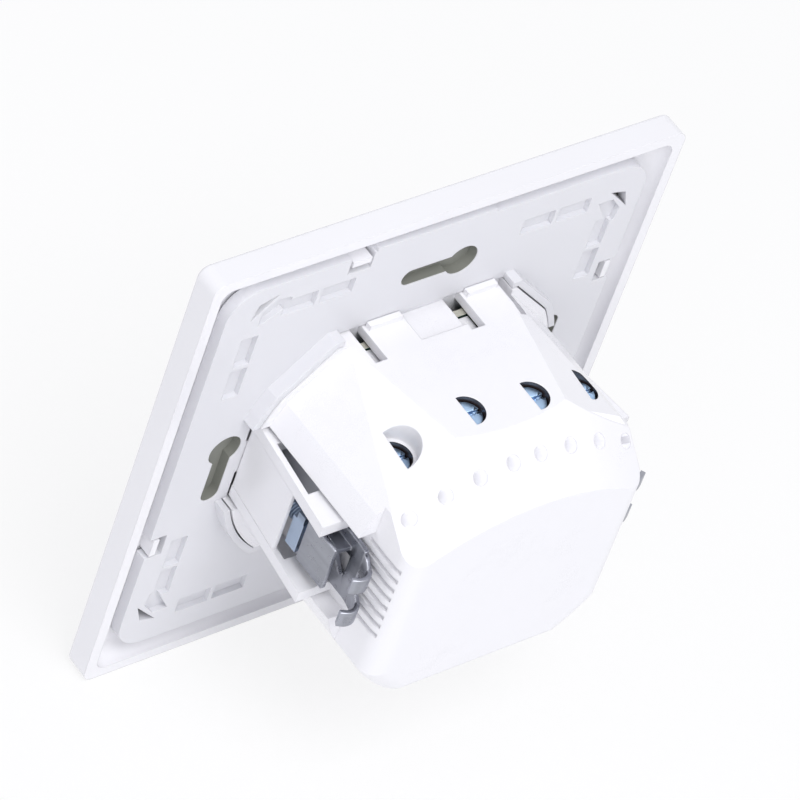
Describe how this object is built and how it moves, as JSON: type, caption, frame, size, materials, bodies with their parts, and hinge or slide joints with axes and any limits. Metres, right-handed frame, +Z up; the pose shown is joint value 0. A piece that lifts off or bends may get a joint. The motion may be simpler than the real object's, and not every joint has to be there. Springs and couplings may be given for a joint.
{
  "type": "smart dimmer switch insert with cover plate",
  "caption": "Flush wall dimmer with square cover plate, tilting key, light ring, spreading claws, screw terminals and rear wire entries.",
  "frame": {"origin": "centre of the cover plate on the wall plane, which is its rear rim face", "axes": "+Z up towards the terminals, +Y into the wall, +X to the right of someone in the wall box who looks out at the room with the terminals up"},
  "size_m": [0.087, 0.0412, 0.087],
  "materials": {
    "plate_plastic": "smooth glossy white moulding",
    "frame_plastic": "satin whitish grey moulding",
    "housing_plastic": "glossy white moulding",
    "rocker_plastic": "smooth glossy white moulding",
    "guide_plastic": "frosted clear plastic",
    "claw_steel": "bright pressed sheet steel",
    "zinc_steel": "blue-passivated zinc plating",
    "clamp_steel": "nickel-plated sheet steel",
    "screw_steel": "plain turned steel",
    "contact_brass": "tinned edges, plain rolled brass",
    "board_laminate": "green solder mask",
    "lamp_plastic": "small white lamp bodies",
    "shield_metal": "tinned shield can",
    "aerial_copper": "enamelled copper wire",
    "header_plastic": "black moulded header",
    "heat_aluminium": "rolled plate",
    "package_plastic": "black moulded package",
    "capacitor_sleeve": "dark shrink sleeve",
    "film_plastic": "yellow moulded case",
    "choke_copper": "enamelled winding",
    "fuse_plastic": "brown lacquer",
    "disc_lacquer": "blue lacquer",
    "switch_plastic": "black key switch case",
    "stem_plastic": "light key stem",
    "seal_sheet": "thin grey green seal sheet"
  },
  "bodies": {
    "insert": {"cover_plate": "plate_plastic", "backing_sheet": "seal_sheet", "support_frame": "frame_plastic", "housing": "housing_plastic", "front_cover": "frame_plastic", "light_guide": "guide_plastic", "control_board": "board_laminate", "board_screws": "screw_steel", "cover_screws": "screw_steel", "ring_lamps": "lamp_plastic", "radio_module": "shield_metal", "radio_aerial": "aerial_copper", "pin_header": "header_plastic", "power_board": "board_laminate", "stay_screws": "screw_steel", "heat_plate": "heat_aluminium", "power_transistors": "package_plastic", "supply_capacitor": "capacitor_sleeve", "film_capacitor": "film_plastic", "ring_choke": "choke_copper", "wire_fuse": "fuse_plastic", "surge_disc": "disc_lacquer", "contact_bars": "contact_brass", "switch_body_top": "switch_plastic", "switch_body_bottom": "switch_plastic"},
    "rocker": {"rocker_button": "rocker_plastic"},
    "stem_top": {"switch_stem_top": "stem_plastic"},
    "stem_bottom": {"switch_stem_bottom": "stem_plastic"},
    "claw_screw_right": {"claw_screw_right": "zinc_steel"},
    "claw_nut_right": {"claw_nut_right": "zinc_steel"},
    "claw_right": {"claw_right": "claw_steel"},
    "claw_screw_left": {"claw_screw_left": "zinc_steel"},
    "claw_nut_left": {"claw_nut_left": "zinc_steel"},
    "claw_left": {"claw_left": "claw_steel"},
    "terminal_screw_1": {"terminal_screw_1": "zinc_steel"},
    "terminal_clamp_1": {"terminal_clamp_1": "clamp_steel"},
    "terminal_screw_2": {"terminal_screw_2": "zinc_steel"},
    "terminal_clamp_2": {"terminal_clamp_2": "clamp_steel"},
    "terminal_screw_3": {"terminal_screw_3": "zinc_steel"},
    "terminal_clamp_3": {"terminal_clamp_3": "clamp_steel"},
    "terminal_screw_4": {"terminal_screw_4": "zinc_steel"},
    "terminal_clamp_4": {"terminal_clamp_4": "clamp_steel"}
  },
  "joints": [
    {"name": "rocker_tilt", "type": "hinge", "parent": "insert", "child": "rocker", "pos_m": [0, -0.0032, 0], "axis": [1, 0, 0], "range_deg": [-1.5, 1.5], "stiffness_Nm_per_rad": 1.3},
    {"name": "stem_top_press", "type": "slide", "parent": "insert", "child": "stem_top", "axis": [0, 1, 0], "range_m": [-0.00046, 0.00046]},
    {"name": "stem_bottom_press", "type": "slide", "parent": "insert", "child": "stem_bottom", "axis": [0, 1, 0], "range_m": [-0.00046, 0.00046]},
    {"name": "claw_screw_right_turn", "type": "hinge", "parent": "insert", "child": "claw_screw_right", "pos_m": [0.0243, 0, 0], "axis": [0, -1, 0], "range_deg": [0, 2161]},
    {"name": "claw_nut_right_travel", "type": "slide", "parent": "insert", "child": "claw_nut_right", "axis": [0, -1, 0], "range_m": [0, 0.003]},
    {"name": "claw_right_spread", "type": "hinge", "parent": "claw_nut_right", "child": "claw_right", "pos_m": [0.0243, 0.015, 0], "axis": [0, 0, -1], "range_deg": [0, 12.05]},
    {"name": "claw_screw_left_turn", "type": "hinge", "parent": "insert", "child": "claw_screw_left", "pos_m": [-0.0243, 0, 0], "axis": [0, -1, 0], "range_deg": [0, 2161]},
    {"name": "claw_nut_left_travel", "type": "slide", "parent": "insert", "child": "claw_nut_left", "axis": [0, -1, 0], "range_m": [0, 0.003]},
    {"name": "claw_left_spread", "type": "hinge", "parent": "claw_nut_left", "child": "claw_left", "pos_m": [-0.0243, 0.015, 0], "axis": [0, 0, 1], "range_deg": [0, 12.05]},
    {"name": "terminal_screw_1_turn", "type": "hinge", "parent": "insert", "child": "terminal_screw_1", "pos_m": [0.0171, 0.0194, 0.012], "axis": [0, 0, -1], "range_deg": [0, 1153]},
    {"name": "terminal_clamp_1_lift", "type": "slide", "parent": "insert", "child": "terminal_clamp_1", "axis": [0, 0, 1], "range_m": [0, 0.0016]},
    {"name": "terminal_screw_2_turn", "type": "hinge", "parent": "insert", "child": "terminal_screw_2", "pos_m": [0.0053, 0.0195, 0.012], "axis": [0, 0, -1], "range_deg": [0, 1153]},
    {"name": "terminal_clamp_2_lift", "type": "slide", "parent": "insert", "child": "terminal_clamp_2", "axis": [0, 0, 1], "range_m": [0, 0.0016]},
    {"name": "terminal_screw_3_turn", "type": "hinge", "parent": "insert", "child": "terminal_screw_3", "pos_m": [-0.0057, 0.0208, 0.012], "axis": [0, 0, -1], "range_deg": [0, 1153]},
    {"name": "terminal_clamp_3_lift", "type": "slide", "parent": "insert", "child": "terminal_clamp_3", "axis": [0, 0, 1], "range_m": [0, 0.0016]},
    {"name": "terminal_screw_4_turn", "type": "hinge", "parent": "insert", "child": "terminal_screw_4", "pos_m": [-0.0176, 0.0195, 0.012], "axis": [0, 0, -1], "range_deg": [0, 1153]},
    {"name": "terminal_clamp_4_lift", "type": "slide", "parent": "insert", "child": "terminal_clamp_4", "axis": [0, 0, 1], "range_m": [0, 0.0016]}
  ],
  "couplings": [
    {"joint": "stem_top_press", "follows": "rocker_tilt", "m_per_rad": -0.017},
    {"joint": "stem_bottom_press", "follows": "rocker_tilt", "m_per_rad": 0.017},
    {"joint": "claw_screw_right_turn", "follows": "claw_nut_right_travel", "rad_per_m": 12566},
    {"joint": "claw_right_spread", "follows": "claw_nut_right_travel", "rad_per_m": 69.813},
    {"joint": "claw_screw_left_turn", "follows": "claw_nut_left_travel", "rad_per_m": 12566},
    {"joint": "claw_left_spread", "follows": "claw_nut_left_travel", "rad_per_m": 69.813},
    {"joint": "terminal_screw_1_turn", "follows": "terminal_clamp_1_lift", "rad_per_m": 12566},
    {"joint": "terminal_screw_2_turn", "follows": "terminal_clamp_2_lift", "rad_per_m": 12566},
    {"joint": "terminal_screw_3_turn", "follows": "terminal_clamp_3_lift", "rad_per_m": 12566},
    {"joint": "terminal_screw_4_turn", "follows": "terminal_clamp_4_lift", "rad_per_m": 12566}
  ]
}
